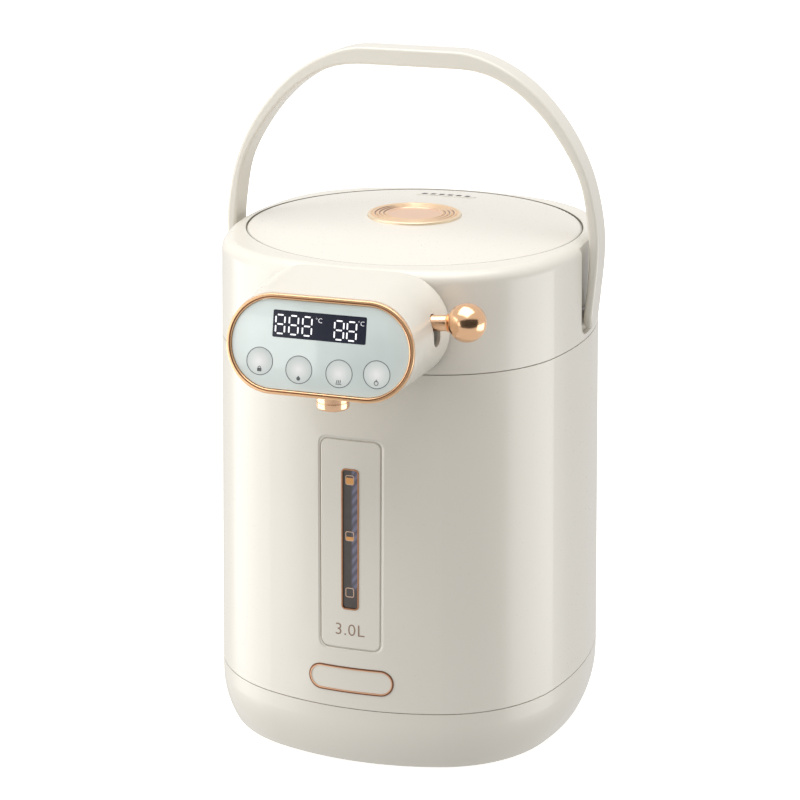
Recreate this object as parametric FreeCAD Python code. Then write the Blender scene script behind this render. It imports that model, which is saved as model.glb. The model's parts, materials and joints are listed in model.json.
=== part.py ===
import FreeCAD, Part
import math
import os

V = FreeCAD.Vector

# Driving dimensions, in millimetres. The origin is on the table under the
# middle of the pot, the front with the tap head looks towards -Y.
HALF_W = 100.0            # body half width at the middle of its sides
HALF_D = 103.0            # body half depth, front and back
R_FACE = 150.0            # plan radius of the front and back faces
R_SIDE = 172.5            # plan radius of the two sides
R_CORNER = 71.6           # plan radius of the four soft corners
Z_FLOOR = 1.0             # underside of the base tray
Z_BASE = 34.6             # seam between base tray and body shell
Z_COLLAR = 217.0          # seam between body shell and collar
Z_RIM = 268.6             # top of the collar rim
SEAM = 0.5                # gap in each visible seam
BASE_ARC = 51.0           # radius that draws the base in
BASE_EDGE = 4.0           # small radius at the foot of the base
RIM_R = 6.0               # rounding of the collar rim
TAPER = 0.017             # the walls lean in by this much for each unit of height
WALL = 2.4                # plastic wall thickness

Y_POT = 2.8               # pot, lid and mouth share this axis
R_LID = 88.8
R_RECESS = 89.3           # recess in the collar that takes the lid
Z_LEDGE = 262.0           # ledge that the lid rests on
Z_DECK = 254.0            # underside of the collar deck
R_MOUTH = 76.5
LID_EDGE = 6.4            # height of the lid's rim above the ledge
LID_DOME = 6.0            # rise of the dome from edge to middle
R_MEDAL = 24.8
VENT_X = -2.0
VENT_Y = 65.0             # steam grille, near the back of the lid
VALVE_Y = 50.0

R_POT = 79.0              # inner pot, outside
POT_WALL = 0.8
Z_POT = 68.0              # underside of the inner pot
Z_POT_TOP = 252.0

HEAD_Z = 240.1            # middle height of the tap head's front
HEAD_Z_ROOT = 241.0       # and where it meets the collar
HEAD_W = 95.8             # width of its front face
HEAD_H = 48.2
HEAD_W_ROOT = 100.0       # width and height where it meets the collar
HEAD_H_ROOT = 53.0
HEAD_Y = -142.0           # middle of the front face
HEAD_TILT = 11.0          # the front face leans back, degrees
HEAD_WALL = 1.5
RING_W = 95.6             # trim ring, outside, along the tilted face
RING_H = 48.7
GLASS_W = 90.6
GLASS_H = 43.6
HEAD_PLATE_Y = -105.2     # front of the plate that holds the tap head to the collar
TAP_SCREW_X = 37.0

PIVOT_Z = 230.0           # handle pivot height
HANDLE_HALF = 8.25        # half of the handle strap's breadth
POCKET_X = 94.2           # floor of the side pockets
POCKET_FRONT = -13.0
POCKET_Z = 219.5

LEVER_X = 18.0            # lever pivot, inside the head
LEVER_Y = -112.5
LEVER_Z = 246.0
LEVER_UP = 5.5            # the lever points up by this many degrees at rest
STEM_R = 4.0
BALL_X = 64.7
BALL_R = 9.6

NOZZLE_Y = -125.0
NOZZLE_R = 8.25
NOZZLE_Z = 204.9

SLOT_W = 8.0              # water level window
SLOT_Z0 = 90.3
SLOT_Z1 = 164.7
PANEL_W = 33.2
PANEL_Z0 = 67.7
PANEL_Z1 = 181.0
BADGE_Z = 50.7
BADGE_W = 46.4
BADGE_H = 14.3
TUBE_Y = -89.8            # axis of the sight tube
TUBE_R = 4.0
TUBE_Z0 = 82.2
TUBE_Z1 = 172.0
CLIP_R = 87.5             # circle of the four pot clips

PUMP_X = -34.0
PUMP_Y = -40.0            # the pot's spout is straight above the pump
PUMP_Z = 20.0
BOARD_Z = 14.0
INLET_Z = 58.0            # height of the power inlet's middle


def corner_centre():
    # centre of the rear right corner arc, tangent to the back and side arcs
    back = (0.0, HALF_D - R_FACE)
    side = (HALF_W - R_SIDE, 0.0)
    ra = R_FACE - R_CORNER
    rb = R_SIDE - R_CORNER
    dx = side[0] - back[0]
    dy = side[1] - back[1]
    d = math.hypot(dx, dy)
    along = (ra * ra - rb * rb + d * d) / (2 * d)
    off = math.sqrt(ra * ra - along * along)
    return (back[0] + dx / d * along + dy / d * off,
            back[1] + dy / d * along - dx / d * off)


def plan_arcs():
    # the eight arcs of the body's plan, each as (centre x, y, radius, start, end angle)
    cx, cy = corner_centre()
    a_side = math.degrees(math.atan2(cy, cx - (HALF_W - R_SIDE)))
    a_back = math.degrees(math.atan2(cy - (HALF_D - R_FACE), cx))
    sx = HALF_W - R_SIDE
    by = HALF_D - R_FACE
    return [(sx, 0, R_SIDE, -a_side, a_side),
            (cx, cy, R_CORNER, a_side, a_back),
            (0, by, R_FACE, a_back, 180 - a_back),
            (-cx, cy, R_CORNER, 180 - a_back, 180 - a_side),
            (-sx, 0, R_SIDE, 180 - a_side, 180 + a_side),
            (-cx, -cy, R_CORNER, 180 + a_side, 180 + a_back),
            (0, -by, R_FACE, 180 + a_back, 360 - a_back),
            (cx, -cy, R_CORNER, 360 - a_back, 360 - a_side)]


def plan_wire(inset, z):
    edges = []
    for cx, cy, r, a0, a1 in plan_arcs():
        edges.append(Part.Arc(polar(cx, cy, r - inset, a0, z),
                              polar(cx, cy, r - inset, (a0 + a1) / 2, z),
                              polar(cx, cy, r - inset, a1, z)).toShape())
    return Part.Wire(edges)


def polar(cx, cy, r, angle, z):
    a = math.radians(angle)
    return V(cx + r * math.cos(a), cy + r * math.sin(a), z)


def plan_solid(profile):
    # a closed solid of the body's plan; profile is a chain of (inset, z) runs,
    # two points for a straight run and three for an arc
    faces = []
    for cx, cy, r, a0, a1 in plan_arcs():
        for run in profile:
            pts = [polar(cx, cy, r - inset, a0, z) for inset, z in run]
            edge = Part.Arc(*pts).toShape() if len(run) == 3 else Part.makeLine(*pts)
            faces.append(edge.revolve(V(cx, cy, 0), V(0, 0, 1), a1 - a0))
    first = profile[0][0]
    last = profile[-1][-1]
    parts = []
    for f in faces:
        parts.extend(f.Faces)
    parts.append(Part.Face(plan_wire(*first)))
    parts.append(Part.Face(plan_wire(*last)))
    shell = Part.makeShell(parts)
    shell.sewShape()
    solid = Part.makeSolid(Part.makeShell(shell.Faces))
    if solid.Volume < 0:
        solid.reverse()
    return solid


def lean_in(z):
    # how far the tapered wall has come in at a height
    return TAPER * (z - Z_BASE)


def straight(inset, z0, z1):
    # a block of the body's plan whose sides follow the taper
    return plan_solid([[(inset + lean_in(z0), z0), (inset + lean_in(z1), z1)]])


def arc_run(r, inset, z, a0, a1):
    # an arc in the (inset, z) plane about its own centre, angles in degrees
    pts = []
    for a in (a0, (a0 + a1) / 2, a1):
        t = math.radians(a)
        pts.append((inset - r * math.cos(t), z + r * math.sin(t)))
    return pts


def box(x0, y0, z0, x1, y1, z1):
    return Part.makeBox(x1 - x0, y1 - y0, z1 - z0, V(x0, y0, z0))


def cyl(r, z0, z1, x=0.0, y=0.0):
    return Part.makeCylinder(r, z1 - z0, V(x, y, z0), V(0, 0, 1))


def rod(r, start, end):
    return Part.makeCylinder(r, (end - start).Length, start, end - start)


def tube(r_out, r_in, z0, z1, x=0.0, y=0.0):
    return cyl(r_out, z0, z1, x, y).cut(cyl(r_in, z0 - 1, z1 + 1, x, y))


def revolved(points, x=0.0, y=0.0):
    # a turned solid about a vertical axis from (radius, z) points
    pts = [V(x + r, y, z) for r, z in points]
    face = Part.Face(Part.makePolygon(pts + [pts[0]]))
    return face.revolve(V(x, y, 0), V(0, 0, 1), 360)


def turned_run(runs, x=0.0, y=0.0):
    # as revolved, from a chain of (radius, z) runs where three points make an arc
    edges = []
    for run in runs:
        pts = [V(x + r, y, z) for r, z in run]
        edges.append(Part.Arc(*pts).toShape() if len(run) == 3 else Part.makeLine(*pts))
    return Part.Face(Part.Wire(edges)).revolve(V(x, y, 0), V(0, 0, 1), 360)


def round_rect_wire(w, h, r, place):
    # a rectangle w by h with corner radius r; place maps (u, v) to a point
    a = w / 2
    b = h / 2
    k = r * (1 - math.sqrt(0.5))
    edges = []
    sides = [((-a + r, -b), (a - r, -b), (a - k, -b + k), (a, -b + r)),
             ((a, -b + r), (a, b - r), (a - k, b - k), (a - r, b)),
             ((a - r, b), (-a + r, b), (-a + k, b - k), (-a, b - r)),
             ((-a, b - r), (-a, -b + r), (-a + k, -b + k), (-a + r, -b))]
    for p, q, m, n in sides:
        if math.dist(p, q) > 1e-6:
            edges.append(Part.makeLine(place(*p), place(*q)))
        edges.append(Part.Arc(place(*q), place(*m), place(*n)).toShape())
    return Part.Wire(edges)


def front_block(w, h, r, z, y0, y1):
    # a rounded block standing in the XZ plane from y0 to y1
    wire = round_rect_wire(w, h, r, lambda u, v: V(u, y0, z + v))
    return Part.Face(wire).extrude(V(0, y1 - y0, 0))


def tap_face(u, v, out=0.0):
    # a point on the tilted front face of the tap head, out is towards the user
    t = math.radians(HEAD_TILT)
    return V(u, HEAD_Y + v * math.sin(t) - out * math.cos(t),
             HEAD_Z + v * math.cos(t) + out * math.sin(t))


def tap_block(w, h, r, out0, out1, u=0.0, v=0.0):
    # a rounded block parallel to the tap head's face
    wire = round_rect_wire(w, h, r, lambda a, b: tap_face(u + a, v + b, out0))
    step = tap_face(0, 0, out1) - tap_face(0, 0, out0)
    return Part.Face(wire).extrude(step)


def stadium_loft(grow, y0, y1):
    # the tap head's body between two depths, drawn in or out by grow
    wires = []
    for y in (y0, y1):
        k = (y - HEAD_Y) / (-HALF_D - HEAD_Y)
        w = HEAD_W + (HEAD_W_ROOT - HEAD_W) * k + 2 * grow
        h = HEAD_H + (HEAD_H_ROOT - HEAD_H) * k + 2 * grow
        z = HEAD_Z + (HEAD_Z_ROOT - HEAD_Z) * k
        wires.append(round_rect_wire(w, h, h / 2 - 0.4, lambda u, v: V(u, y, z + v)))
    return Part.makeLoft(wires, True, True)


def in_front_of_face(out):
    # everything beyond the tap face, as a big block
    return tap_block(300, 300, 5, out, out + 120)


def hose(points, r_out, r_in, bend):
    # a round hose along straight runs joined by arcs
    edges = []
    start = points[0]
    for i in range(1, len(points) - 1):
        a = (points[i - 1] - points[i]).normalize()
        b = (points[i + 1] - points[i]).normalize()
        half = math.acos(max(-1.0, min(1.0, a.dot(b)))) / 2
        back = bend / math.tan(half)
        p = points[i] + a * back
        q = points[i] + b * back
        centre = points[i] + (a + b).normalize() * (bend / math.sin(half))
        mid = centre + (points[i] - centre).normalize() * bend
        if (p - start).Length > 1e-4:
            edges.append(Part.makeLine(start, p))
        edges.append(Part.Arc(p, mid, q).toShape())
        start = q
    edges.append(Part.makeLine(start, points[-1]))
    path = Part.Wire(edges)
    way = points[1] - points[0]
    rings = [Part.Wire(Part.makeCircle(r, points[0], way)) for r in (r_out, r_in)]
    solids = [path.makePipeShell([ring], True, False) for ring in rings]
    return solids[0].cut(solids[1])


def around_pot(count, r, phase=0.0):
    # evenly spaced places about the pot's axis
    return [polar(0, Y_POT, r, phase + 360.0 * i / count, 0) for i in range(count)]


def screw(x, y, z, up, length=10.0, r=1.5, head_r=2.8, head_h=2.0):
    # a pan head screw standing at z, its shank running up (1) or down (-1)
    head = Part.makeCylinder(head_r, head_h, V(x, y, z), V(0, 0, -up))
    shank = Part.makeCylinder(r, length, V(x, y, z), V(0, 0, up))
    cross = Part.makeCylinder(0.9, 1.2, V(x, y, z - up * head_h), V(0, 0, up))
    return head.fuse(shank).cut(cross)


def base_profile():
    # from the foot outwards and up: small edge arc, long arc, straight
    z_start = Z_BASE - 8.0
    lean = math.asin((z_start - Z_FLOOR - BASE_EDGE) / (BASE_ARC - BASE_EDGE))
    inset1 = BASE_ARC * (1 - math.cos(lean))
    z1 = z_start - BASE_ARC * math.sin(lean)
    lean_deg = math.degrees(lean)
    big = arc_run(BASE_ARC, BASE_ARC, z_start, -lean_deg, 0)
    small = arc_run(BASE_EDGE, inset1 + BASE_EDGE * math.cos(lean),
                    z1 + BASE_EDGE * math.sin(lean), -90, -lean_deg)
    return [small, big, [(0.0, z_start), (0.0, Z_BASE)]]


def collar_profile(inset):
    # the collar's leaning wall and its rounded rim
    z = Z_RIM - RIM_R
    side = inset + lean_in(z)
    return [[(inset + lean_in(Z_COLLAR - 20), Z_COLLAR - 20), (side, z)],
            arc_run(RIM_R, RIM_R + side, z, 0, 90)]


FOOT_SPOTS = [(-58, -62), (58, -62), (-58, 62), (58, 62)]
BASE_SCREWS = [(-78, -22), (78, -22), (-78, 30), (78, 30)]


def base_tray():
    outer = plan_solid(base_profile())
    inner = straight(8.6, Z_FLOOR + 2.6, 18.0)
    upper = straight(3.0, 18.0, Z_BASE + 1)
    tray = outer.cut(inner).cut(upper)
    lip = straight(WALL + 0.2, 28.0, Z_BASE + 4).cut(straight(WALL + 1.8, 27.0, Z_BASE + 5))
    tray = tray.fuse(lip.cut(straight(0, 27, 28.2)))
    for x, y in FOOT_SPOTS:
        tray = tray.cut(cyl(8.2, 0, Z_FLOOR + 1.0, x, y))
    for x, y in BASE_SCREWS:
        tray = tray.fuse(cyl(5.0, Z_FLOOR + 2.0, 24.0, x, y))
        tray = tray.cut(cyl(3.4, 0, 8.0, x, y)).cut(cyl(1.8, 0, 26.0, x, y))
    for i in range(7):
        y = 14.0 + 7.0 * i
        tray = tray.cut(box(-22, y, 0, 22, y + 3, Z_FLOOR + 4))
    return tray.removeSplitter()


def rubber_feet():
    feet = []
    for x, y in FOOT_SPOTS:
        foot = revolved([(0, 0), (7.2, 0), (8.0, 0.8), (8.0, 2.0), (0, 2.0)], x, y)
        feet.append(foot)
    return Part.Compound(feet)


def base_screws():
    return Part.Compound([screw(x, y, 8.0, 1, 22.0) for x, y in BASE_SCREWS])


def body_shell():
    z0 = Z_BASE + SEAM
    z1 = Z_COLLAR - SEAM
    shell = straight(0, z0, z1).cut(straight(WALL, z0 - 1, z1 + 1))
    for x, y in BASE_SCREWS:
        boss = cyl(5.0, 24.0, 44.0, x, y)
        wall_x = math.copysign(98, x)
        rib = box(min(x, wall_x), y - 1.5, 39.6, max(x, wall_x), y + 1.5, 44.0)
        rib = rib.common(straight(1.0, 30, 60))
        shell = shell.fuse(boss.fuse(rib).cut(cyl(1.6, 20, 36, x, y)))
    slot_h = SLOT_Z1 - SLOT_Z0
    slot_z = (SLOT_Z0 + SLOT_Z1) / 2
    shell = shell.cut(front_block(SLOT_W + 1.5, slot_h + 1.5, 2.25, slot_z, -HALF_D - 5, -90))
    shell = shell.cut(panel_groove())
    shell = shell.cut(badge_recess())
    shell = shell.cut(front_block(33.2, 25.2, 3.0, INLET_Z, 90, HALF_D + 5))
    return shell.removeSplitter()


def panel_groove():
    # the fine line cut round the level window panel
    w = PANEL_W
    h = PANEL_Z1 - PANEL_Z0
    z = (PANEL_Z0 + PANEL_Z1) / 2
    ring = front_block(w, h, 5.0, z, -HALF_D - 5, -90)
    ring = ring.cut(front_block(w - 1.4, h - 1.4, 4.3, z, -HALF_D - 6, -89))
    return ring.cut(straight(0.7, 30, 230))


def badge_recess():
    ring = front_block(BADGE_W, BADGE_H, BADGE_H / 2 - 0.1, BADGE_Z, -HALF_D - 5, -90)
    ring = ring.cut(front_block(BADGE_W - 2.6, BADGE_H - 2.6, BADGE_H / 2 - 1.4, BADGE_Z, -HALF_D - 6, -89))
    return ring.cut(straight(1.1, 30, 230))


def badge_ring():
    ring = front_block(BADGE_W - 0.1, BADGE_H - 0.1, BADGE_H / 2 - 0.15, BADGE_Z, -HALF_D - 5, -90)
    ring = ring.cut(front_block(BADGE_W - 2.5, BADGE_H - 2.5, BADGE_H / 2 - 1.35, BADGE_Z, -HALF_D - 6, -89))
    return ring.common(straight(-0.35, 30, 230)).cut(straight(1.1, 29, 231))


def window_bezel():
    # thin bright edge round the slot, it also holds the lens
    h = SLOT_Z1 - SLOT_Z0
    z = (SLOT_Z0 + SLOT_Z1) / 2
    ring = front_block(SLOT_W + 1.4, h + 1.4, 2.2, z, -HALF_D - 5, -90)
    ring = ring.cut(front_block(SLOT_W, h, 1.5, z, -HALF_D - 6, -89))
    return ring.common(straight(-0.3, 30, 230)).cut(straight(WALL, 29, 231))


def window_lens():
    h = SLOT_Z1 - SLOT_Z0
    z = (SLOT_Z0 + SLOT_Z1) / 2
    pane = front_block(SLOT_W - 0.1, h - 0.1, 1.45, z, -HALF_D - 5, -90)
    return pane.common(straight(0.5, 30, 230)).cut(straight(2.0, 29, 231))


def lens_seat():
    # backing frame behind the shell that carries lens and sight tube clips
    h = SLOT_Z1 - SLOT_Z0
    z = (SLOT_Z0 + SLOT_Z1) / 2
    frame = front_block(22.0, h + 14.0, 3.0, z, -HALF_D - 5, -90)
    frame = frame.cut(front_block(SLOT_W - 1.0, h - 2.0, 1.8, z, -HALF_D - 6, -89))
    frame = frame.common(straight(WALL + 0.05, 30, 230)).cut(straight(WALL + 1.65, 29, 231))
    for zc in (SLOT_Z0 - 1.5, SLOT_Z1 + 1.5):
        clip = box(-6.5, -99.6, zc - 1.5, 6.5, TUBE_Y + 1.0, zc + 1.5)
        clip = clip.common(straight(WALL + 1.0, 30, 230))
        frame = frame.fuse(clip.cut(cyl(TUBE_R + 0.1, 60, 190, 0, TUBE_Y)))
    return frame.removeSplitter()


def collar():
    z0 = Z_COLLAR
    outer = plan_solid(collar_profile(0.0)).cut(box(-120, -120, z0 - 30, 120, 120, z0))
    hollow = straight(WALL, z0 - 1, Z_DECK)
    for s in (-1, 1):
        block = box(91.6, POCKET_FRONT - 3, z0 - 2, 110, 50, Z_DECK + 1)
        if s < 0:
            block = block.mirror(V(0, 0, 0), V(1, 0, 0))
        hollow = hollow.cut(block)
    body = outer.cut(hollow)
    body = body.cut(cyl(R_RECESS, Z_LEDGE, Z_RIM + 5, 0, Y_POT))
    body = body.cut(cyl(R_MOUTH, Z_DECK - 5, Z_RIM, 0, Y_POT))
    lip = straight(WALL + 0.15, z0 - 5, z0 + 1).cut(straight(WALL + 1.7, z0 - 6, z0 + 2))
    body = body.fuse(lip)
    for s in (-1, 1):
        pocket = handle_pocket()
        if s < 0:
            pocket = pocket.mirror(V(0, 0, 0), V(1, 0, 0))
        body = body.cut(pocket)
        body = body.cut(rod(2.55, V(s * 88, 0, PIVOT_Z), V(s * 100, 0, PIVOT_Z)))
    body = body.cut(front_block(64.0, 30.0, 8.0, HEAD_Z, -HALF_D - 5, -88))
    for x in (-TAP_SCREW_X, TAP_SCREW_X):
        seat = rod(4.0, V(x, -90.5, HEAD_Z), V(x, -110, HEAD_Z)).common(straight(1.0, 200, 260))
        body = body.fuse(seat).cut(rod(1.7, V(x, -110, HEAD_Z), V(x, -85, HEAD_Z)))
    for p in around_pot(4, CLIP_R, 45):
        boss = cyl(4.0, 251.0, Z_DECK + 0.5, p.x, p.y)
        body = body.fuse(boss).cut(cyl(1.5, 240.0, 258.0, p.x, p.y))
    return body.removeSplitter()


def handle_pocket():
    # side recess where a handle arm turns, open at the rim and to the rear
    r = 7.0
    y0 = POCKET_FRONT
    z0 = POCKET_Z
    k = r * (1 - math.sqrt(0.5))
    y1 = 75.0
    z1 = Z_RIM + 10
    x = POCKET_X
    edges = [Part.makeLine(V(x, y0 + r, z0), V(x, y1, z0)),
             Part.makeLine(V(x, y1, z0), V(x, y1, z1)),
             Part.makeLine(V(x, y1, z1), V(x, y0, z1)),
             Part.makeLine(V(x, y0, z1), V(x, y0, z0 + r)),
             Part.Arc(V(x, y0, z0 + r), V(x, y0 + k, z0 + k), V(x, y0 + r, z0)).toShape()]
    return Part.Face(Part.Wire(edges)).extrude(V(30, 0, 0))


def handle():
    half = HANDLE_HALF
    inner = [(24, 354.3), (42, 352.0), (58, 343.9), (74, 329.2), (85, 313.8), (92.5, 298.5),
             (96.2, 280.5), (97.9, 262), (97.2, 243), (94.9, 221)]
    outer = [(24, 363.3), (42, 359.8), (60, 350.4), (76, 335.8), (88.5, 318.2), (96.5, 300.6),
             (101.0, 283), (102.9, 262), (101.6, 243), (99.5, 221)]
    curves = []
    for pts in (inner, outer):
        c = Part.BSplineCurve()
        c.interpolate([V(x, 0, z) for x, z in pts], InitialTangent=V(1, 0, 0),
                      FinalTangent=V(-0.1, 0, -1))
        curves.append(c)
    right = [curves[0].toShape(), curves[1].toShape(),
             Part.makeLine(V(94.9, 0, 221), V(99.5, 0, 221)),
             Part.makeLine(V(24, 0, 354.3), V(0, 0, 354.3)),
             Part.makeLine(V(24, 0, 363.3), V(0, 0, 363.3)),
             Part.makeLine(V(0, 0, 354.3), V(0, 0, 363.3))]
    face = Part.Face(Part.Wire(Part.__sortEdges__(right)))
    strap = face.extrude(V(0, 2 * half, 0))
    strap.translate(V(0, -half, 0))
    for y, sign in ((-half, 1), (half, -1)):
        end = box(80, min(y, y + sign * half), 220, 110, max(y, y + sign * half), PIVOT_Z)
        strap = strap.cut(end.cut(rod(half, V(79, 0, PIVOT_Z), V(111, 0, PIVOT_Z))))
    long_edges = []
    for e in strap.Edges:
        b = e.BoundBox
        flat_y = b.YLength < 1e-3 and abs(abs(b.Center.y) - half) < 1e-3
        if flat_y and b.ZMax > PIVOT_Z + 1 and (b.XLength > 1 or b.ZLength > 1):
            if not (abs(b.XMin) < 1e-6 and b.XLength < 1e-6):
                long_edges.append(e)
    strap = strap.makeFillet(1.4, long_edges)
    bail = strap.fuse(strap.mirror(V(0, 0, 0), V(1, 0, 0))).removeSplitter()
    return bail.cut(rod(3.05, V(-98.2, 0, PIVOT_Z), V(98.2, 0, PIVOT_Z)))


def handle_pins():
    # shouldered pivot pins pressed into the collar walls
    pins = []
    for s in (-1, 1):
        pin = rod(2.5, V(s * 91.0, 0, PIVOT_Z), V(s * POCKET_X, 0, PIVOT_Z))
        pin = pin.fuse(rod(3.0, V(s * POCKET_X, 0, PIVOT_Z), V(s * 98.0, 0, PIVOT_Z)))
        pin = pin.fuse(rod(4.2, V(s * 90.0, 0, PIVOT_Z), V(s * 91.6, 0, PIVOT_Z)))
        pins.append(pin.removeSplitter())
    return Part.Compound(pins)


def lid_top(r):
    # height of the domed lid surface at a distance from its axis
    edge_z = Z_LEDGE + LID_EDGE
    big = (R_LID ** 2 + LID_DOME ** 2) / (2 * LID_DOME)
    return edge_z + LID_DOME - (big - math.sqrt(big ** 2 - r * r))


def lid_cover():
    edge = 1.4
    z0 = Z_LEDGE + 0.3
    r1 = R_LID - edge
    k = edge * math.sqrt(0.5)
    z1 = lid_top(r1)
    runs = [[(0, z0 + 3.4), (60, z0 + 2.4)],
            [(60, z0 + 2.4), (74.5, z0)],
            [(74.5, z0), (R_LID, z0)],
            [(R_LID, z0), (R_LID, z1 - edge)],
            [(R_LID, z1 - edge), (r1 + k, z1 - edge + k), (r1, z1)],
            [(r1, z1), (r1 / 2, lid_top(r1 / 2)), (0, lid_top(0))],
            [(0, lid_top(0)), (0, z0 + 3.4)]]
    lid = turned_run(runs, 0, Y_POT)
    seat = cyl(R_MEDAL + 0.15, lid_top(0) - 1.6, lid_top(0) + 5, 0, Y_POT)
    lid = lid.cut(seat)
    lid = lid.cut(vent_block(34.3, 10.3, 5.1, 255, 290))
    return lid.cut(cyl(5.2, 255, 275, 0, Y_POT)).removeSplitter()


def vent_block(w, d, r, z0, z1):
    wire = round_rect_wire(w, d, r, lambda u, v: V(VENT_X + u, VENT_Y + v, z0))
    return Part.Face(wire).extrude(V(0, 0, z1 - z0))


def steam_grille():
    plate = vent_block(34.0, 10.0, 4.95, 265.6, 280)
    big = (R_LID ** 2 + LID_DOME ** 2) / (2 * LID_DOME)
    plate = plate.common(Part.makeSphere(big, V(0, Y_POT, lid_top(0) + 0.3 - big)))
    for i in range(6):
        x = VENT_X + (i - 2.5) * 4.9
        plate = plate.cut(box(x - 1.5, VENT_Y - 2.6, 260, x + 1.5, VENT_Y + 2.6, 285))
    return plate.removeSplitter()


def lid_medallion():
    z = lid_top(0)
    runs = [(0, 266.4), (5.0, 266.4), (5.0, z - 1.6), (R_MEDAL, z - 1.6), (R_MEDAL, z + 0.1),
            (R_MEDAL - 0.8, z + 0.7)]
    r = R_MEDAL - 1.6
    for _ in range(4):
        runs += [(r, z + 0.7), (r - 0.5, z + 0.2), (r - 1.0, z + 0.7)]
        r -= 2.1
    runs += [(r, z + 0.7), (r - 0.5, z + 0.3), (0, z + 0.3)]
    return revolved(runs, 0, Y_POT)


def lid_liner():
    # stainless pan under the lid that closes the pot's mouth
    z = Z_LEDGE - 0.2
    runs = [(0, 250.0), (66.0, 250.0), (70.0, 253.0), (71.5, z - 1.0), (74.0, z + 0.4),
            (74.0, z + 0.5), (60.0, z + 2.8), (0, z + 3.8), (0, z + 3.0), (59.5, z + 2.0),
            (70.5, z), (69.2, 253.4), (65.7, 250.8), (0, 250.8)]
    pan = revolved(runs, 0, Y_POT)
    return pan.cut(cyl(3.0, 245, 255, 0, VALVE_Y))


def lid_gasket():
    # silicone lip ring held round the liner
    z = 255.0
    runs = [(71.2, z), (75.6, z - 0.6), (76.0, z + 0.4), (72.2, z + 2.2), (72.0, z + 4.6),
            (71.7, z + 4.6)]
    return revolved(runs, 0, Y_POT)


def steam_valve():
    # float cap that shuts the steam way if the pot is tipped over
    outline = [(0, 250.8), (5.0, 250.8), (6.5, 254.0), (6.5, 258.0), (2.0, 258.0), (2.0, 259.0), (0, 259.0)]
    return revolved(outline, 0, VALVE_Y)


def inner_pot():
    r = R_POT
    ri = r - POT_WALL
    f = 12.0
    k = math.sqrt(0.5)
    fi = f - POT_WALL
    outer = [[(0, Z_POT), (r - f, Z_POT)],
             [(r - f, Z_POT), (r - f + f * k, Z_POT + f - f * k), (r, Z_POT + f)],
             [(r, Z_POT + f), (r, Z_POT_TOP - 1.0)],
             [(r, Z_POT_TOP - 1.0), (r + 3.2, Z_POT_TOP - 1.0)],
             [(r + 3.2, Z_POT_TOP - 1.0), (r + 3.2, Z_POT_TOP)],
             [(r + 3.2, Z_POT_TOP), (ri, Z_POT_TOP)],
             [(ri, Z_POT_TOP), (ri, Z_POT + f)],
             [(ri, Z_POT + f), (r - f + fi * k, Z_POT + f - fi * k), (r - f, Z_POT + POT_WALL)],
             [(r - f, Z_POT + POT_WALL), (0, Z_POT + POT_WALL)],
             [(0, Z_POT + POT_WALL), (0, Z_POT)]]
    pot = turned_run(outer, 0, Y_POT)
    spout = tube(4.2, 3.2, 56.0, Z_POT + 0.4, PUMP_X, PUMP_Y)
    pot = pot.cut(cyl(3.2, 50, Z_POT + 5, PUMP_X, PUMP_Y))
    return pot.fuse(spout).removeSplitter()


def pot_gasket():
    return tube(81.0, 78.4, Z_POT_TOP, Z_DECK, 0, Y_POT)


def insulation_jacket():
    # felt wrap round the pot, cut back where the screws pass
    felt = tube(86.0, R_POT + 0.4, 82.0, 236.0, 0, Y_POT)
    for s in (-1, 1):
        felt = felt.cut(box(s * 90 - 8, -14, 222, s * 90 + 8, 14, 240))
    return felt


def heater_plate():
    # cast plate clamped under the pot with its heating ring
    plate = tube(62.0, 14.0, Z_POT - 4.0, Z_POT, 0, Y_POT)
    plate = plate.cut(cyl(4.6, 50, 80, PUMP_X, PUMP_Y))
    ring = Part.makeTorus(46.0, 3.4, V(0, Y_POT, Z_POT - 5.0), V(0, 0, 1))
    notch = Part.makeBox(90, 90, 30, V(0, Y_POT, Z_POT - 20))
    notch.rotate(V(0, Y_POT, 0), V(0, 0, 1), 200)
    ring = ring.cut(notch)
    return plate.fuse(ring.common(cyl(60, Z_POT - 12, Z_POT - 3, 0, Y_POT))).removeSplitter()


def temperature_sensor():
    probe = cyl(6.0, Z_POT - 3.0, Z_POT, 0, Y_POT)
    stem = cyl(3.5, Z_POT - 12.0, Z_POT - 2.5, 0, Y_POT)
    return probe.fuse(stem).removeSplitter()


def thermal_cutout():
    body = cyl(8.0, Z_POT - 13.0, Z_POT - 4.0, 25.0, Y_POT)
    for x in (21.0, 29.0):
        body = body.fuse(box(x - 0.4, Y_POT - 3, Z_POT - 20.0, x + 0.4, Y_POT + 3, Z_POT - 12.5))
    return body.removeSplitter()


def pump_housing():
    # volute chamber with its inlet on top and outlet at the front
    x, y, z = PUMP_X, PUMP_Y, PUMP_Z
    body = cyl(17.0, z + 8.0, z + 22.0, x, y)
    arm = rod(4.6, V(x + 12.0, y, z + 15.0), V(x + 12.0, y - 22.0, z + 15.0))
    body = body.fuse(arm).fuse(cyl(4.2, z + 21.0, z + 31.0, x, y))
    body = body.cut(cyl(14.6, z + 10.0, z + 20.0, x, y))
    body = body.cut(rod(2.8, V(x + 12.0, y - 2, z + 15.0), V(x + 12.0, y - 23.0, z + 15.0)))
    body = body.cut(cyl(3.0, z + 18.0, z + 32.0, x, y))
    body = body.cut(cyl(1.6, z + 6.0, z + 12.0, x, y))
    return body.removeSplitter()


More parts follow.
